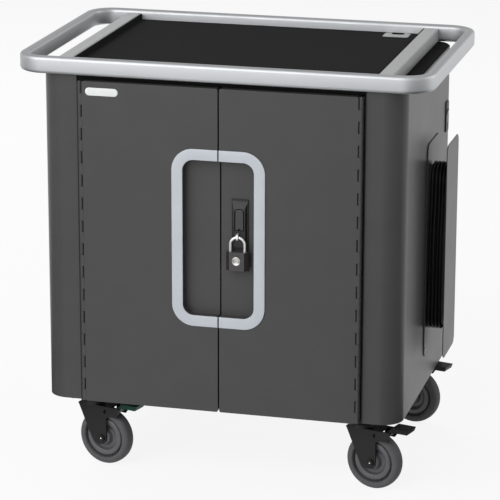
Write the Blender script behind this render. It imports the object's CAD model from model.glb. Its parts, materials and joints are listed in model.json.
import json
import math

import bmesh
import bpy
import numpy as np
from mathutils import Matrix, Vector


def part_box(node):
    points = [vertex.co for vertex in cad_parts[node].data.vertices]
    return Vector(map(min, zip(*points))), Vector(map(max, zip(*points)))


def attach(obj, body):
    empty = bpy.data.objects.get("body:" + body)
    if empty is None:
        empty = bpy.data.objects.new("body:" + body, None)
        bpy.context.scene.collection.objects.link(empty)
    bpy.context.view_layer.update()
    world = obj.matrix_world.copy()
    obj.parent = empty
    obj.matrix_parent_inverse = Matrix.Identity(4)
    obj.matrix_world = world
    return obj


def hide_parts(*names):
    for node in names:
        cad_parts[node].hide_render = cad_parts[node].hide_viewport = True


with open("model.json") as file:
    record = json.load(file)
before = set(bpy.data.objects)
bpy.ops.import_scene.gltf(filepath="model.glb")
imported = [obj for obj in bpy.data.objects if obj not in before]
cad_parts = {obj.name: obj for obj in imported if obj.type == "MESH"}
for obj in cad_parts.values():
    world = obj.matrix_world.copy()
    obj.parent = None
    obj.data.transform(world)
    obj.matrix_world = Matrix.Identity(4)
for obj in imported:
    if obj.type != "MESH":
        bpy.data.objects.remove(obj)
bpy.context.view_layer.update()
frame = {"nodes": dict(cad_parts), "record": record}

MM = 0.001
BODY_OF = {node: body for body, nodes in frame["record"]["behaviour"]["bodies"].items()
           for node in nodes}
SLOT_OF = {row["node"]: row["material_slot"] for row in frame["record"]["subparts"]}

# Sizes of the pieces that are drawn here, in millimetres
SEAT_GAP = 0.3
RAIL_WIDTH, RAIL_DEPTH, RAIL_CORNER = 902, 572, 62
RAIL_TOP, RAIL_HEIGHT, RAIL_WALL, RAIL_ROUND = 920, 37, 22, 7.5
DOOR_FACE, DOOR_GAP = -282, 3
PIN_X, PIN_Y, BARREL_R = 304.7, -278.5, 4
KNUCKLE, HINGE_LOW, HINGE_HIGH = 25.4, 159.4, 870.6
WEB_REACH, WEB_THICK, WEB_PLAY = 2, 1, 0.4
COLUMN_X, COLUMN_FRONT, JAMB_FRONT = 313.5, -270, -258
SEAL_REACH, SEAL_PLAY, SEAL_SET_BACK = 2.3, 0.1, 0.6
RING_WIDTH, RING_HEIGHT, RING_CORNER, RING_Z = 204, 390, 48, 545
RING_BAND, RING_THICK, RING_ROUND = 24, 2.2, 0.9
STAPLE_X, LOCK_Y, LOCK_TOP, LOCK_DEPTH = 40.5, -275, 520, 18.4
SHACKLE_R, SHACKLE_SPAN, SHACKLE_TOP, SHACKLE_SEAT = 3, 31.5, 551, 20
CASTER_X, CASTER_Y, CASTER_TURN, TRAIL = 302, 220, -15, 34
CASTERS = [(f"{end}_{side}", x * CASTER_X, y * CASTER_Y)
           for end, y in (("front", -1), ("rear", 1))
           for side, x in (("left", -1), ("right", 1))]
# The CAD wheel has flats and stands on one of them
WHEEL_CORNER_R, WHEEL_FLATS, WHEEL_WIDTH = 63.5, 24, 32
AXLE_Z = WHEEL_CORNER_R * math.cos(math.pi / WHEEL_FLATS)
WHEEL_R, TREAD_R, AXLE_R, FORK_FACE = AXLE_Z, 47, 5.5, 26
PLATE_UNDER, BOLT_X, BOLT_Y = 152.7, 39, 21
PEDAL_TOP, RIB_REACHES, RIB_HALF, RIB_R = 148, (90, 98, 106, 114), 13, 1.0
CORD_D, CORD_PITCH, CORD_TURNS, CORD_BEND = 7.6, 8.05, 4, 34
CORD_X, CORD_FRONT_Y, CORD_LOW, CORD_HIGH, CORD_TAIL = 401.6, 0, 291, 663, 30
CORD_STEP, GLAND_STAND_OFF = 5.0, 10
GLAND_FACE = CORD_FRONT_Y + 2 * CORD_BEND + GLAND_STAND_OFF
WRAP_FACE, SCREW_R, SCREW_PLACES = 397.3, 4.0, ((0, 246), (112, 320), (112, 620))

# Sides and steps of the round forms
WHEEL_SIDES, AXLE_END_SIDES, WASHER_SIDES, SCREW_SIDES, DISC_SIDES = 96, 32, 24, 24, 64
CORD_SIDES, SHACKLE_SIDES, RIB_SIDES = 14, 20, 12
SHACKLE_BEND_STEPS, SHACKLE_LEG_STEPS = 40, 8
RAIL_EDGE_STEPS, RAIL_CORNER_STEPS, RING_EDGE_STEPS, RING_CORNER_STEPS = 8, 24, 5, 24


# Camera: degrees, metres, and millimetres for the lens

YAW, PITCH, ROLL = 14.414, 16.038, -0.141
EYE_PLACE = (1.4205, -5.5388, 2.088)
LENS, SENSOR, SEES_TO = 192.5, 36, 100


def camera():
    """A long lens at the photograph's place: it looks along d = (-sin yaw cos pitch, cos yaw cos
    pitch, -sin pitch), with its right hand along (cos yaw, sin yaw, 0), and then rolls about d."""
    yaw, pitch, roll = (math.radians(a) for a in (YAW, PITCH, ROLL))
    ahead = Vector((-math.sin(yaw) * math.cos(pitch), math.cos(yaw) * math.cos(pitch),
                    -math.sin(pitch)))
    right = Vector((math.cos(yaw), math.sin(yaw), 0))
    axes = Matrix((right, right.cross(ahead), -ahead)).transposed()
    eye = bpy.data.objects.new("camera", bpy.data.cameras.new("camera"))
    eye.data.lens = LENS
    eye.data.sensor_width = SENSOR
    eye.data.clip_end = SEES_TO
    turn = Matrix.Rotation(roll, 3, ahead) @ axes
    eye.matrix_world = Matrix.Translation(EYE_PLACE) @ turn.to_4x4()
    bpy.context.collection.objects.link(eye)
    bpy.context.scene.camera = eye


camera()


# Finishes

# Noise keeps to the middle of its range, so that is the part which is spread out
NOISE_LOW, NOISE_HIGH = 0.3, 0.7
FINE_DETAIL, BROAD_DETAIL = 4, 5
GRAIN_DEPTH = 0.0003


def links(material):
    """The nodes and links of a material that has just been given nodes, and its shader."""
    tree = material.node_tree
    return tree.nodes, tree.links, tree.nodes["Principled BSDF"]


def noise(nodes, wires, coords, scale, detail, stretch):
    """Noise on the object's own coordinates; stretch squeezes it along an axis."""
    mapping = nodes.new("ShaderNodeMapping")
    mapping.inputs["Scale"].default_value = stretch
    wires.new(coords, mapping.inputs["Vector"])
    grain = nodes.new("ShaderNodeTexNoise")
    grain.inputs["Scale"].default_value = scale
    grain.inputs["Detail"].default_value = detail
    wires.new(mapping.outputs["Vector"], grain.inputs["Vector"])
    return grain.outputs["Fac"]


def ramp(nodes, wires, value, low, high):
    """Noise turned into a colour between low and high."""
    blend = nodes.new("ShaderNodeValToRGB")
    ends = blend.color_ramp.elements
    ends[0].position, ends[1].position = NOISE_LOW, NOISE_HIGH
    ends[0].color, ends[1].color = (*low, 1), (*high, 1)
    wires.new(value, blend.inputs["Fac"])
    return blend.outputs["Color"]


def spread(nodes, wires, value, low, high):
    """Noise turned into a number between low and high."""
    remap = nodes.new("ShaderNodeMapRange")
    remap.inputs["From Min"].default_value = NOISE_LOW
    remap.inputs["From Max"].default_value = NOISE_HIGH
    remap.inputs["To Min"].default_value = low
    remap.inputs["To Max"].default_value = high
    wires.new(value, remap.inputs["Value"])
    return remap.outputs["Result"]


def linear(rgb):
    """Screen colour to light: ((c + 0.055) / 1.055) ** 2.4, or c / 12.92 near black."""
    c = np.asarray(rgb, float) / 255
    return tuple(np.where(c > 0.04045, ((c + 0.055) / 1.055) ** 2.4, c / 12.92))


def coat(name, rgb, rough, metal=0.0, grain=900, peel=0.12, mottle=0.05, cloud=14,
         stretch=(1, 1, 1), shine=0.5, uneven=0.05):
    """A coat with clouds of slightly lighter and darker tone (mottle, at the scale cloud), gloss
    that varies by uneven, and a fine grain in relief (peel, at the scale grain)."""
    made = bpy.data.materials.new(name)
    made.use_nodes = True
    nodes, wires, skin = links(made)
    place = nodes.new("ShaderNodeTexCoord").outputs["Object"]
    base = np.array(linear(rgb))
    fine = noise(nodes, wires, place, grain, FINE_DETAIL, stretch)
    broad = noise(nodes, wires, place, cloud, BROAD_DETAIL, stretch)
    tone = ramp(nodes, wires, broad, tuple(base * (1 - mottle)),
                tuple(np.minimum(base * (1 + mottle), 1)))
    speck = ramp(nodes, wires, fine, (1 - mottle,) * 3, (1, 1, 1))
    mix = nodes.new("ShaderNodeMix")
    mix.data_type = "RGBA"
    mix.blend_type = "MULTIPLY"
    mix.inputs["Factor"].default_value = 1
    # For colours, the mix node has its inputs at 6 and 7 and its result at 2
    wires.new(tone, mix.inputs[6])
    wires.new(speck, mix.inputs[7])
    wires.new(mix.outputs[2], skin.inputs["Base Color"])
    gloss = spread(nodes, wires, broad, rough - uneven, rough + uneven)
    wires.new(gloss, skin.inputs["Roughness"])
    skin.inputs["Metallic"].default_value = metal
    skin.inputs["Specular IOR Level"].default_value = shine
    relief = nodes.new("ShaderNodeBump")
    relief.inputs["Strength"].default_value = peel
    relief.inputs["Distance"].default_value = GRAIN_DEPTH
    wires.new(fine, relief.inputs["Height"])
    wires.new(relief.outputs["Normal"], skin.inputs["Normal"])
    return made


# Each line: name, colour, roughness, metal, grain, peel, mottle, cloud
CHARCOAL = coat("charcoal powder coat", (72, 72, 72), 0.36, 0.0, 1100, 0.14, 0.03,
                shine=0.25, uneven=0.015)
RAIL_SILVER = coat("silver rail", (197, 199, 201), 0.55, 1.0, 1600, 0.05, 0.025)
PALE_GREY = coat("pale grey bar", (188, 189, 189), 0.5, 0.2, 1100, 0.12, 0.04)
RING_GREY = coat("ring coat", (190, 195, 202), 0.42, 0.15, 1200, 0.1, 0.03)
BOARD_BLACK = coat("matt black laminate", (42, 42, 43), 0.75, 0.0, 1500, 0.2, 0.12, 30, shine=0.02)
CABINET_BLACK = coat("black cabinet top", (22, 22, 22), 0.7, 0.0, 1500, 0.2, 0.12, 30, shine=0.05)
BLACK_STEEL = coat("black caster steel", (28, 27, 27), 0.45, 0.0, 700, 0.15, 0.1, 25, shine=0.25)
LATCH_BLACK = coat("latch black", (38, 38, 39), 0.36, 0.0, 900, 0.12, 0.08, 40, shine=0.3)
LEVER_GREY = coat("lever grey", (66, 66, 67), 0.4, 0.0, 900, 0.12, 0.06, 40, shine=0.3)
BRIGHT_STEEL = coat("polished steel", (236, 236, 233), 0.36, 0.6, 500, 0.04, 0.04, 40,
                    stretch=(1, 1, 0.1))
ROD_METAL = coat("drawn rod", (190, 191, 192), 0.35, 1.0, 500, 0.05, 0.05, 40,
                 stretch=(1, 1, 0.05))
LOCK_GREY = coat("padlock grey", (74, 72, 72), 0.42, 0.2, 800, 0.15, 0.08, 30, shine=0.35)
LOCK_DARK = coat("padlock bevels", (50, 46, 47), 0.42, 0.2, 800, 0.15, 0.08, 30, shine=0.35)
DISC_SILVER = coat("padlock disc", (196, 196, 194), 0.3, 0.9, 900, 0.08, 0.06, 60)
CORD_BLACK = coat("cord sheath", (18, 18, 18), 0.5, 0.0, 600, 0.1, 0.1, 30, shine=0.35)
DIVIDER_GREY = coat("divider grey", (141, 145, 148), 0.55, 0.0, 900, 0.15, 0.04)
TREAD_GREY = coat("tread grey", (88, 88, 90), 0.7, 0.0, 500, 0.25, 0.1, 35, shine=0.3)
HUB_GREY = coat("hub grey", (86, 86, 89), 0.45, 0.0, 900, 0.12, 0.06, 30)
BLACK_PLASTIC = coat("black plastic", (34, 34, 35), 0.5, 0.0, 900, 0.15, 0.08, 30)
SOCKET_GREY = coat("socket faces", (58, 58, 60), 0.45, 0.0, 900, 0.1, 0.06, 30)
PEDAL_GREEN = coat("pedal green", (10, 54, 46), 0.45, 0.0, 700, 0.12, 0.08, 40, shine=0.2)
PEDAL_BLACK = coat("pedal black", (16, 16, 16), 0.45, 0.0, 700, 0.12, 0.08, 40, shine=0.2)
ROCKER_RED = coat("rocker red", (92, 34, 30), 0.35, 0.0, 700, 0.06, 0.05, 40)
BADGE_WHITE = coat("badge white", (226, 228, 228), 0.35, 0.0, 900, 0.05, 0.02, 40)
SHEET_BLACK = coat("black sheet", (12, 12, 12), 0.9, shine=0.0)


# Making meshes

# A turned end closes in to this radius, in millimetres, so that its cap keeps an outline
TIP = 0.01
# Points this near to each other, in metres, are one point
SAME_POINT, SAME_CAD_POINT = 1e-6, 2e-6
# Edges over SHARP shade as edges; CAD lines between faces within FLAT are taken out
SHARP, FLAT = math.radians(40), math.radians(0.6)
FLAT_FACES_FIRST = 100


def faces_of(rows, columns, close_rows, close_columns):
    """Four corners a face on a grid of rows by columns, each direction open or closed on itself."""
    i = np.arange(rows if close_rows else rows - 1)[:, None]
    j = np.arange(columns if close_columns else columns - 1)[None, :]
    a = i * columns + j
    b = i * columns + (j + 1) % columns
    c = ((i + 1) % rows) * columns + (j + 1) % columns
    d = ((i + 1) % rows) * columns + j
    return np.stack([a, b, c, d], -1).reshape(-1, 4)


def flat_sheet(points):
    """A grid that is open all round."""
    return points, False, False, False


def capped(points):
    """Rows that are loops, with the first and the last row closed by a cap."""
    return points, False, True, True


def looped(points):
    """Rows that are loops, and the last row joined to the first."""
    return points, True, True, False


def surface(name, grids):
    """One mesh from grids of points in millimetres; each is (points[rows, columns, 3], close rows,
    close columns, cap ends)."""
    corners, faces, start = [], [], 0
    for points, close_rows, close_columns, caps in grids:
        rows, columns = points.shape[:2]
        corners.append(points.reshape(-1, 3))
        faces += (faces_of(rows, columns, close_rows, close_columns) + start).tolist()
        if caps:
            faces.append((np.arange(columns)[::-1] + start).tolist())
            faces.append((np.arange(columns) + start + (rows - 1) * columns).tolist())
        start += rows * columns
    mesh = bpy.data.meshes.new(name)
    mesh.from_pydata((np.concatenate(corners) * MM).tolist(), [], faces)
    shape = bmesh.new()
    shape.from_mesh(mesh)
    bmesh.ops.remove_doubles(shape, verts=shape.verts, dist=SAME_POINT)
    bmesh.ops.recalc_face_normals(shape, faces=shape.faces)
    shape.to_mesh(mesh)
    shape.free()
    mesh.polygons.foreach_set("use_smooth", np.ones(len(mesh.polygons), bool))
    mesh.set_sharp_from_angle(angle=SHARP)
    return mesh


def piece(mesh, body, material, slot, *nodes):
    """An object that rides on a body, and shows in the place of the CAD nodes named."""
    made = bpy.data.objects.new(mesh.name, mesh)
    bpy.context.collection.objects.link(made)
    mesh.materials.clear()
    mesh.materials.append(material)
    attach(made, body)
    if nodes:
        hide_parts(*nodes)
    return made


def eased(node, material, width, steps=2, angle=35):
    """The CAD node's own faces, joined at shared corners and freed of lines across flat faces;
    every edge sharper than the angle is rounded to the width in millimetres, and broad faces set
    the shading."""
    mesh = bpy.data.meshes.new(node + "_eased")
    shape = bmesh.new()
    shape.from_mesh(frame["nodes"][node].data)
    bmesh.ops.remove_doubles(shape, verts=shape.verts, dist=SAME_CAD_POINT)
    bmesh.ops.dissolve_limit(shape, angle_limit=FLAT, verts=shape.verts, edges=shape.edges)
    bmesh.ops.connect_verts_concave(shape, faces=shape.faces)
    shape.to_mesh(mesh)
    shape.free()
    mesh.polygons.foreach_set("use_smooth", np.ones(len(mesh.polygons), bool))
    made = piece(mesh, BODY_OF[node], material, SLOT_OF[node], node)
    bevel = made.modifiers.new("rounded edges", "BEVEL")
    bevel.width = width * MM
    bevel.segments = steps
    bevel.limit_method = "ANGLE"
    bevel.angle_limit = math.radians(angle)
    bevel.use_clamp_overlap = True
    even = made.modifiers.new("flat faces stay flat", "WEIGHTED_NORMAL")
    even.weight = FLAT_FACES_FIRST
    return made


def turned(profile, centre, axis, sides):
    """A profile of (radius, height) carried round an axis: centre + r cos t u + r sin t v + h axis,
    with u and v square to the axis."""
    profile = np.asarray(profile, float)
    axis = np.asarray(axis, float)
    u = np.roll(axis, 1)
    v = np.cross(axis, u)
    t = np.linspace(0, 2 * np.pi, sides, endpoint=False)
    spoke = np.cos(t)[:, None] * u + np.sin(t)[:, None] * v
    return np.asarray(centre, float) + profile[:, None, :1] * spoke + profile[:, None, 1:] * axis


def along(path, radius, sides, reference=(1, 0, 0)):
    """A round section carried along a path: p + r (cos t u + sin t v), with u the reference made
    square to the path and v square to both."""
    path = np.asarray(path, float)
    ahead = np.gradient(path, axis=0)
    ahead /= np.linalg.norm(ahead, axis=1, keepdims=True)
    reference = np.asarray(reference, float)
    u = reference - (ahead @ reference)[:, None] * ahead
    u /= np.linalg.norm(u, axis=1, keepdims=True)
    v = np.cross(ahead, u)
    t = np.linspace(0, 2 * np.pi, sides, endpoint=False)
    spoke = np.cos(t)[None, :, None] * u[:, None] + np.sin(t)[None, :, None] * v[:, None]
    return path[:, None] + radius * spoke


def rounded_loop(half_x, half_y, corner, steps):
    """A closed rectangle with round corners: four quarter circles joined by straight lines."""
    q = np.linspace(0, np.pi / 2, steps)
    angles = np.concatenate([q + k * np.pi / 2 for k in range(4)])
    sx = np.repeat([1, -1, -1, 1], steps)
    sy = np.repeat([1, 1, -1, -1], steps)
    x = sx * (half_x - corner) + corner * np.cos(angles)
    y = sy * (half_y - corner) + corner * np.sin(angles)
    return np.stack([x, y], -1)


# Cord

# How far each turn's run bows forwards, leans inwards and bows backwards
FRONT_BOW = np.array([0.6, 4.6, 1.0, 5.0])
FRONT_LEAN = np.array([0.0, 1.1, 0.0, 1.1])
BACK_BOW = np.array([2.4, 1.0, 3.2, 1.6])


def cord_route():
    """From the gland forwards along the lowest strand, then round and round two half circles joined
    by straight runs, moving outwards by one pitch a turn, and straight down at the end. Each run
    bows away from the core by its own few millimetres, and two front runs lean in on their
    neighbours: both go as sin^2(pi u), with u from 0 to 1 along the run."""
    low, high = CORD_LOW + CORD_BEND, CORD_HIGH - CORD_BEND
    rise, quarter = high - low, math.pi * CORD_BEND / 2
    turn = 2 * rise + 4 * quarter
    end = CORD_TURNS * turn - quarter
    s = np.concatenate([np.arange(0, end, CORD_STEP), [end]])
    a = s % turn
    middle = CORD_FRONT_Y + CORD_BEND
    legs = [a < quarter, a < quarter + rise, a < 3 * quarter + rise, a < 3 * quarter + 2 * rise,
            a >= 0]
    first = -math.pi / 2 - a / CORD_BEND
    over = math.pi - (a - quarter - rise) / CORD_BEND
    last = -(a - 3 * quarter - 2 * rise) / CORD_BEND
    flat = np.zeros_like(a)
    y = np.select(legs, [middle + CORD_BEND * np.cos(first), flat + CORD_FRONT_Y,
                         middle + CORD_BEND * np.cos(over), flat + CORD_FRONT_Y + 2 * CORD_BEND,
                         middle + CORD_BEND * np.cos(last)])
    z = np.select(legs, [low + CORD_BEND * np.sin(first), low + a - quarter,
                         high + CORD_BEND * np.sin(over), high - (a - 3 * quarter - rise),
                         low + CORD_BEND * np.sin(last)])
    x = CORD_X + CORD_PITCH * s / turn
    lap = np.minimum(s // turn, CORD_TURNS - 1).astype(int)
    up = np.clip((a - quarter) / rise, 0, 1)
    down = np.clip((a - 3 * quarter - rise) / rise, 0, 1)
    y -= FRONT_BOW[lap] * np.sin(np.pi * up) ** 2
    x -= FRONT_LEAN[lap] * np.sin(np.pi * up) ** 2
    y += BACK_BOW[lap] * np.sin(np.pi * down) ** 2
    wound = np.stack([x, y, z], -1)
    lead = np.linspace((CORD_X, GLAND_FACE - SEAT_GAP, CORD_LOW),
                       (CORD_X, middle + CORD_STEP, CORD_LOW), 10)
    drop = np.linspace((x[-1], y[-1], low - CORD_STEP),
                       (x[-1], y[-1], low - CORD_TAIL - CORD_D), 8)
    return np.concatenate([lead, wound, drop])


route = cord_route()
cord = piece(surface("wound_cord", [capped(along(route, CORD_D / 2, CORD_SIDES))]), "cart",
             CORD_BLACK, "cord_black", "power_cord")
plug = eased("mains_plug", CORD_BLACK, 0.9)


# Room

FLOOR_REACH, FLOOR_TONE, FLOOR_ROUGH, FLOOR_GLOW = 40000, 0.86, 0.9, 0.88
# Light from the sky on the pieces, and how the sky that is seen goes with the ray's rise
SKY_LIGHT = 0.32
SKY_FADE = (("From Min", 0.1), ("From Max", 0.3), ("To Min", 0.95), ("To Max", 0.5))
# Name, place, aim, size in metres, watts, and whether it shows in gloss
LAMPS = (("key", (-1.7, -3.7, 2.8), (0, 0, 0.6), 4.2, 165, True),
         ("side", (3.6, 1.6, 1.9), (0.4, 0, 0.5), 2.4, 28, True),
         ("back", (-2.4, 3.4, 3.2), (0, 0, 0.5), 2.6, 75, False))
# The black sheets: near and far edges across, front and back edges, slant of the sides, height
SHEETS = (("left sheet", -480, -4500), ("right sheet", 490, 4500))
SHEET_DEPTH, SHEET_SLANT, SHEET_RISE = (-4000, 300), 0.257, 0.5


def seen_or(nodes, wires, other, seen):
    """A level node with one value for what the camera and mirrors see, and another for light that
    falls on the pieces."""
    ray = nodes.new("ShaderNodeLightPath")
    shown = ray.outputs["Is Camera Ray"]
    for kind in ("Is Glossy Ray", "Is Transmission Ray"):
        either = nodes.new("ShaderNodeMath")
        either.operation = "MAXIMUM"
        wires.new(shown, either.inputs[0])
        wires.new(ray.outputs[kind], either.inputs[1])
        shown = either.outputs[0]
    level = nodes.new("ShaderNodeMapRange")
    level.inputs["To Min"].default_value = other
    level.inputs["To Max"].default_value = seen
    wires.new(shown, level.inputs["Value"])
    return level


def lay_floor():
    """A wide pale floor. The camera sees it part-lit by itself, so that it is near white and still
    keeps the shadow."""
    ends = (-FLOOR_REACH, FLOOR_REACH)
    points = np.array([[[x, y, 0] for x in ends] for y in ends], float)
    floor = bpy.data.objects.new("floor", surface("floor", [flat_sheet(points)]))
    bpy.context.collection.objects.link(floor)
    paint = bpy.data.materials.new("pale floor")
    paint.use_nodes = True
    nodes, wires, skin = links(paint)
    skin.inputs["Base Color"].default_value = (FLOOR_TONE, FLOOR_TONE, FLOOR_TONE, 1)
    skin.inputs["Roughness"].default_value = FLOOR_ROUGH
    glow = nodes.new("ShaderNodeEmission")
    glow.inputs["Strength"].default_value = 1
    mix = nodes.new("ShaderNodeMixShader")
    wires.new(seen_or(nodes, wires, 0, FLOOR_GLOW).outputs["Result"], mix.inputs[0])
    wires.new(skin.outputs[0], mix.inputs[1])
    wires.new(glow.outputs[0], mix.inputs[2])
    wires.new(mix.outputs[0], nodes["Material Output"].inputs["Surface"])
    floor.data.materials.append(paint)


def hang_sky():
    """A sky that is white low down and greyer overhead, and lights the pieces evenly."""
    sky = bpy.data.worlds.new("studio")
    bpy.context.scene.world = sky
    sky.use_nodes = True
    nodes, wires = sky.node_tree.nodes, sky.node_tree.links
    nodes["Background"].inputs["Color"].default_value = (1, 1, 1, 1)
    height = nodes.new("ShaderNodeSeparateXYZ")
    wires.new(nodes.new("ShaderNodeTexCoord").outputs["Generated"], height.inputs[0])
    fade = nodes.new("ShaderNodeMapRange")
    for socket, value in SKY_FADE:
        fade.inputs[socket].default_value = value
    wires.new(height.outputs["Z"], fade.inputs["Value"])
    level = seen_or(nodes, wires, SKY_LIGHT, 1)
    wires.new(fade.outputs["Result"], level.inputs["To Max"])
    wires.new(level.outputs["Result"], nodes["Background"].inputs["Strength"])


def set_lamps():
    """Three soft square lamps, each aimed at its own point on the cart."""
    for name, place, aim, size, watts, in_gloss in LAMPS:
        lamp = bpy.data.objects.new(name, bpy.data.lights.new(name, "AREA"))
        lamp.data.size = size
        lamp.data.energy = watts
        lamp.visible_glossy = in_gloss
        lamp.location = place
        lamp.rotation_euler = (Vector(aim) - Vector(place)).to_track_quat("-Z", "Y").to_euler()
        bpy.context.collection.objects.link(lamp)


def black_sheets():
    """Two black sheets on the floor, one on each side of the way from the camera to the cart. The
    camera doesn't see them and they take no light away: they only show in the gloss, as a dark line
    down each bend."""
    for name, near, far in SHEETS:
        points = np.array([[[x, y, SHEET_RISE] for x in (near, far)] for y in SHEET_DEPTH], float)
        points[..., 0] += points[..., 1] * SHEET_SLANT
        sheet = bpy.data.objects.new(name, surface(name, [flat_sheet(points)]))
        bpy.context.collection.objects.link(sheet)
        sheet.data.materials.append(SHEET_BLACK)
        sheet.visible_camera = sheet.visible_diffuse = sheet.visible_shadow = False


lay_floor()
hang_sky()
set_lamps()
black_sheets()


# Rail and tray

def rail():
    """A round-edged section carried round the top: the outer loop drawn in by d is a loop with its
    half sizes and its corner smaller by d, and the section gives d and the height."""
    q = rounded_loop(RAIL_WALL / 2, RAIL_HEIGHT / 2, RAIL_ROUND, RAIL_EDGE_STEPS)
    inset = RAIL_WALL / 2 - q[:, 0]
    height = RAIL_TOP - RAIL_HEIGHT / 2 + q[:, 1]
    rings = []
    for d, h in zip(inset, height):
        loop = rounded_loop(RAIL_WIDTH / 2 - d, RAIL_DEPTH / 2 - d, RAIL_CORNER - d,
                            RAIL_CORNER_STEPS)
        rings.append(np.column_stack([loop, np.full(len(loop), h)]))
    return surface("rail", [looped(np.stack(rings))])


piece(rail(), "cart", RAIL_SILVER, "rail_paint", "top_rail")
for side in ("left", "right"):
    eased(f"{side}_cross_bar", PALE_GREY, 0.6, angle=60)
eased("work_top", BOARD_BLACK, 0.8)
eased("cabinet_top", CABINET_BLACK, 1.2, 3, 60)
eased("cable_grommet", PALE_GREY, 0.7, angle=60)


# Cabinet

for node in ("left_side_panel", "right_side_panel"):
    eased(node, CHARCOAL, 0.6, angle=60)
for node in ("rear_panel", "base_pan", "middle_shelf"):
    eased(node, CHARCOAL, 0.5, angle=60)
for node in ("lower_dividers", "upper_dividers"):
    eased(node, DIVIDER_GREY, 0.9)
for node in ("lower_outlet_strip", "upper_outlet_strip"):
    eased(node, BLACK_PLASTIC, 0.7, angle=60)


# Doors, hinges and ring

def half_loop(side, inset):
    """One half of the ring's outline, from the gap under it round to the gap over it, drawn in by
    the inset."""
    x0 = DOOR_GAP / 2
    half = RING_WIDTH / 2 - inset
    low, high = RING_Z - RING_HEIGHT / 2 + inset, RING_Z + RING_HEIGHT / 2 - inset
    r = RING_CORNER - inset
    t = np.linspace(-np.pi / 2, 0, RING_CORNER_STEPS)
    x = np.concatenate([[x0], half - r + r * np.cos(t), half - r + r * np.cos(t + np.pi / 2),
                        [x0]])
    z = np.concatenate([[low], low + r + r * np.sin(t), high - r + r * np.sin(t + np.pi / 2),
                        [high]])
    return np.stack([side * x, z], -1)


def ring(side, name):
    """A flat band with round edges, carried along half of the outline."""
    back = DOOR_FACE - SEAT_GAP
    q = rounded_loop(RING_BAND / 2, RING_THICK / 2, RING_ROUND, RING_EDGE_STEPS)
    rows = []
    for d, y in zip(RING_BAND / 2 + q[:, 0], back - RING_THICK / 2 + q[:, 1]):
        loop = half_loop(side, d)
        rows.append(np.column_stack([loop[:, 0], np.full(len(loop), y), loop[:, 1]]))
    return surface(name, [capped(np.stack(rows, 1))])


def block(x, y, z):
    """A plain block between two values along each axis: a four-cornered outline at two heights."""
    outline = np.array([(x[0], y[0]), (x[1], y[0]), (x[1], y[1]), (x[0], y[1])], float)
    return capped(np.stack([np.column_stack([outline, np.full(4, h)]) for h in z]))


def knuckle_webs(side):
    """A thin web from every other knuckle to the edge of the door, level with the front of the
    knuckles."""
    x = (side * (PIN_X - BARREL_R - WEB_REACH), side * PIN_X)
    y = (PIN_Y - BARREL_R, PIN_Y - BARREL_R + WEB_THICK)
    lows = np.arange(HINGE_LOW, HINGE_HIGH - KNUCKLE, 2 * KNUCKLE)
    return [block(x, y, (low + WEB_PLAY, low + KNUCKLE - WEB_PLAY)) for low in lows]


def column_seal(side):
    """A black strip down the column's return, behind the hinge."""
    return block((side * (COLUMN_X - SEAL_REACH), side * (COLUMN_X - SEAL_PLAY)),
                 (COLUMN_FRONT + SEAL_SET_BACK, JAMB_FRONT - SEAL_PLAY), (HINGE_LOW, HINGE_HIGH))


for name, side in (("left", -1), ("right", 1)):
    piece(surface(f"{name}_knuckle_webs", knuckle_webs(side)), f"{name}_door", CHARCOAL,
          "charcoal_paint")
    piece(surface(f"{name}_column_seal", [column_seal(side)]), "cart", CORD_BLACK, "black_plastic")
    piece(ring(side, f"{name}_ring"), f"{name}_door", RING_GREY, "ring_paint",
          f"{name}_handle_ring")
    eased(f"{name}_door", CHARCOAL, 1.0, 3, 50)
    eased(f"{name}_door_hinge_leaf", CHARCOAL, 0.6, 2, 60)
    eased(f"{name}_jamb_hinge_leaf", CHARCOAL, 0.6, 2, 60)
    eased(f"{name}_hinge_pin", BRIGHT_STEEL, 0.3, 2, 70)


# Latch and padlock

# A face of the padlock that leans this far to a side is one of its dark bevels
BEVEL_LEAN = 0.3


def shackle():
    """A round bar along a U: two straight legs and a half circle."""
    r = SHACKLE_SPAN / 2
    top = SHACKLE_TOP - r
    t = np.linspace(np.pi, 0, SHACKLE_BEND_STEPS)
    leg = np.linspace(LOCK_TOP - SHACKLE_SEAT, top - 1, SHACKLE_LEG_STEPS)
    flat = np.full(SHACKLE_LEG_STEPS, r)
    x = np.concatenate([-flat, r * np.cos(t), flat]) + STAPLE_X
    z = np.concatenate([leg, top + r * np.sin(t), leg[::-1]])
    path = np.stack([x, np.full(len(x), LOCK_Y), z], -1)
    return surface("shackle", [capped(along(path, SHACKLE_R, SHACKLE_SIDES, (0, 1, 0)))])


piece(shackle(), "padlock_shackle", BRIGHT_STEEL, "bright_steel", "padlock_shackle")
lock = eased("padlock_body", LOCK_GREY, 0.7, 3, 15)
lock.data.materials.append(LOCK_DARK)
lean = np.empty(3 * len(lock.data.polygons))
lock.data.polygons.foreach_get("normal", lean)
dark = np.abs(lean.reshape(-1, 3)[:, 0]) > BEVEL_LEAN
lock.data.polygons.foreach_set("material_index", dark.astype(np.int32))
eased("padlock_staple", BRIGHT_STEEL, 0.5, 2, 40)
eased("latch_housing", LATCH_BLACK, 0.6, 2, 40)
eased("latch_lever", LEVER_GREY, 0.7, 2, 40)
for node in ("upper_lock_rod", "lower_lock_rod"):
    eased(node, ROD_METAL, 0.5)


# Right side

for node in ("cord_wrap_inner", "cord_wrap_outer"):
    eased(node, CHARCOAL, 0.6, angle=60)
eased("cord_gland", BLACK_PLASTIC, 0.7, angle=50)
eased("switch_bezel", BLACK_PLASTIC, 0.8, angle=50)
eased("power_rocker", ROCKER_RED, 0.5)


# Casters

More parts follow.
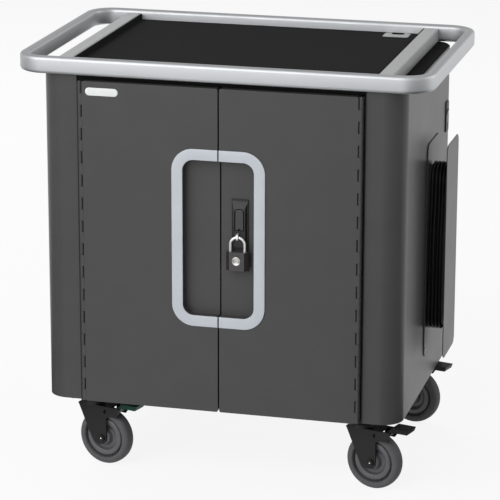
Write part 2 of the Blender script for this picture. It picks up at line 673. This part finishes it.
def swung(points, x, y):
    """Turned about a corner's swivel axis by the casters' angle a at rest: (dx cos a - dy sin a,
    dx sin a + dy cos a)."""
    a = math.radians(CASTER_TURN)
    d = points - (x, y, 0)
    turn = np.array([[math.cos(a), -math.sin(a), 0], [math.sin(a), math.cos(a), 0], [0, 0, 1]])
    return d @ turn.T + (x, y, 0)


def about_axle(half, x, y):
    """Half of a wheel's profile and its mirror image, turned about the axle."""
    profile = np.concatenate([half, half[::-1] * (1, -1)])
    centre = (x + TRAIL, y, AXLE_Z)
    return looped(swung(turned(profile, centre, (0, 1, 0), WHEEL_SIDES), x, y))


def tyre(x, y):
    """A round-shouldered tread turned about the axle, with a deep inner lip beside the hub."""
    half = WHEEL_WIDTH / 2
    lip = [(TREAD_R, 5.2), (TREAD_R + 0.2, half - 3.2), (TREAD_R + 0.9, half - 1.2),
           (TREAD_R + 2.2, half - 0.3), (TREAD_R + 3.6, half)]
    t = np.linspace(0, np.pi / 2, 14)
    shoulder = np.column_stack([WHEEL_R - 10.5 + 9.9 * np.sin(t), half - 9.5 + 9.5 * np.cos(t)])
    crown = [(WHEEL_R - 0.15, half - 12), (WHEEL_R, half - 15)]
    return about_axle(np.concatenate([lip, shoulder, crown]), x, y)


def hub(x, y):
    """A boss, a sunk web, a raised ring and a groove beside the tread, turned about the axle."""
    boss = [(AXLE_R, 17), (13.6, 17), (15, 16.6), (16.2, 15.4), (17, 12.5), (17.8, 6.4)]
    web = [(19, 4.8), (20.5, 4.3), (26.5, 4.3), (28, 5), (29.2, 7)]
    raised_ring = [(30.2, 10), (31.4, 11.8), (33, 12.6), (37, 12.8), (40, 12.5), (42, 11.5)]
    groove = [(43.2, 9.6), (44, 6.8), (45, 5.6), (TREAD_R - 0.4, 5.4)]
    return about_axle(np.array(boss + web + raised_ring + groove), x, y)


def axle_ends(x, y):
    """On both ends of an axle: a low cup with a sunk floor, and a small dome in its middle."""
    cup = [(5.6, -0.4), (5.6, 0.5), (5.1, 0.9), (4.4, 0.9), (4.1, 0.6), (3.9, -0.1), (TIP, -0.1)]
    dome = [(1.7, -0.3), (1.7, 0.2), (1.4, 0.6), (0.8, 0.85), (TIP, 0.95)]
    ends = [((x + TRAIL, y + side * FORK_FACE, AXLE_Z), (0, side, 0)) for side in (-1, 1)]
    return [[capped(swung(turned(profile, *end, AXLE_END_SIDES), x, y)) for end in ends]
            for profile in (cup, dome)]


def bolts(x, y):
    """Four washers and six-sided heads under a caster's top plate."""
    places = [(x + u, y + v, PLATE_UNDER) for u in (-BOLT_X, BOLT_X) for v in (-BOLT_Y, BOLT_Y)]
    washer = [(7.4, 0), (7.4, 0.8), (7.0, 1.1)]
    head = [(5.8, 1.0), (5.8, 4.2), (5.2, 4.8)]
    return [capped(turned(profile, place, (0, 0, -1), sides))
            for place in places for profile, sides in ((washer, WASHER_SIDES), (head, 6))]


def ribs(x, y):
    """Four low half-round ribs across the foot of a pedal."""
    rows = []
    for reach in RIB_REACHES:
        path = np.linspace((x + reach, y - RIB_HALF, PEDAL_TOP),
                           (x + reach, y + RIB_HALF, PEDAL_TOP), 4)
        rows.append(capped(swung(along(path, RIB_R, RIB_SIDES), x, y)))
    return rows


for corner, x, y in CASTERS:
    wheel = f"{corner}_wheel"
    piece(surface(f"{corner}_tyre", [tyre(x, y)]), wheel, TREAD_GREY, "tread_grey",
          f"{corner}_caster_tyre")
    piece(surface(f"{corner}_hub", [hub(x, y)]), wheel, HUB_GREY, "hub_grey",
          f"{corner}_caster_hub")
    eased(f"{corner}_caster_plate", BLACK_STEEL, 0.6, angle=50)
    eased(f"{corner}_caster_fork", BLACK_STEEL, 0.8, angle=50)
    foot = PEDAL_GREEN if corner == "front_left" else PEDAL_BLACK
    eased(f"{corner}_caster_pedal", foot, 1.4, 3, 45)
    piece(surface(f"{corner}_pedal_ribs", ribs(x, y)), f"{corner}_pedal", foot,
          SLOT_OF[f"{corner}_caster_pedal"])
    cups, domes = axle_ends(x, y)
    fork = BODY_OF[f"{corner}_caster_fork"]
    piece(surface(f"{corner}_axle_cups", cups), fork, CORD_BLACK, "black_steel")
    piece(surface(f"{corner}_axle_points", domes), fork, BRIGHT_STEEL, "bright_steel")
    piece(surface(f"{corner}_plate_bolts", bolts(x, y)), "cart", BLACK_STEEL, "black_steel")


# Small fittings: levels are (inset, rise) from an outline's foot to its top

BADGE_HALF, BADGE_CORNER, BADGE_PLACE = (36, 8.5), 8.49, (-255, DOOR_FACE, 850)
BADGE_STEPS, SOCKET_STEPS, SLOT_STEPS = 14, 6, 4
BADGE_LEVELS = ((0, 0), (0, 0.7), (0.4, 1.1), (1.2, 1.3), (6, 1.5))
OUTLETS, SOCKET_HALF, SOCKET_CORNER, SOCKET_SET_BACK = 8, (12, 15.5), 4, 3
SOCKET_LEVELS = ((0, 0), (0, 1.2), (0.5, 1.8), (1.2, 2.0))
SLOT_LEVELS = ((0, 1.6), (0, 2.1))
# Each slot's half sizes, corner, and place on its socket's face
SLOTS = (((1.1, 4.2), 0.4, (-5.6, 0, 3.5)), ((1.1, 3.6), 0.4, (5.6, 0, 3.5)),
         ((2.4, 2.4), 2.3, (0, 0, -6.5)))
DISC_PLACE = (STAPLE_X - 1, LOCK_Y - LOCK_DEPTH / 2, 500.5)
DISC_PROFILE = ((9.3, -0.2), (9.3, 0.4), (8.8, 0.8), (7.9, 0.9), (7.4, 0.6), (TIP, 0.6))


def screw(centre):
    """A low domed head with a round socket, on the cart's right side."""
    r = SCREW_R
    profile = [(r, 0), (r, 0.5), (r * 0.9, 1.2), (r * 0.6, 1.7), (r * 0.42, 1.8), (r * 0.4, 0.9),
               (TIP, 0.9)]
    return capped(turned(profile, centre, (1, 0, 0), SCREW_SIDES))


def raised(half, corner, centre, levels, steps):
    """A low plate that faces forwards: at each (inset, rise), a round-cornered outline drawn in by
    the inset."""
    rows = []
    for inset, rise in levels:
        loop = rounded_loop(half[0] - inset, half[1] - inset, corner - inset, steps)
        depth = np.full(len(loop), centre[1] - rise)
        rows.append(np.column_stack([centre[0] + loop[:, 0], depth, centre[2] + loop[:, 1]]))
    return capped(np.stack(rows))


def outlets(strip):
    """A socket face in each recess of an outlet strip, and dark slots in each face."""
    low, high = (np.array(c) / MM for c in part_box(strip))
    pitch = (high[0] - low[0]) / OUTLETS
    spots = [np.array((low[0] + (i + 0.5) * pitch, low[1] + SOCKET_SET_BACK,
                       (low[2] + high[2]) / 2)) for i in range(OUTLETS)]
    faces = [raised(SOCKET_HALF, SOCKET_CORNER, spot, SOCKET_LEVELS, SOCKET_STEPS)
             for spot in spots]
    slots = [raised(half, corner, spot + place, SLOT_LEVELS, SLOT_STEPS)
             for spot in spots for half, corner, place in SLOTS]
    return faces, slots


badge = raised(BADGE_HALF, BADGE_CORNER, BADGE_PLACE, BADGE_LEVELS, BADGE_STEPS)
piece(surface("blank_badge", [badge]), "left_door", BADGE_WHITE, "ring_paint")
screws = [screw((WRAP_FACE, y, z)) for y, z in SCREW_PLACES]
piece(surface("wrap_screws", screws), "cart", BRIGHT_STEEL, "bright_steel")
for row in ("lower", "upper"):
    faces, slots = outlets(f"{row}_outlet_strip")
    piece(surface(f"{row}_sockets", faces), "cart", SOCKET_GREY, "black_plastic")
    piece(surface(f"{row}_socket_slots", slots), "cart", CORD_BLACK, "black_plastic")
disc = capped(turned(DISC_PROFILE, DISC_PLACE, (0, -1, 0), DISC_SIDES))
piece(surface("padlock_disc", [disc]), "padlock_body", DISC_SILVER, "bright_steel")

bpy.context.scene.view_settings.view_transform = "Standard"
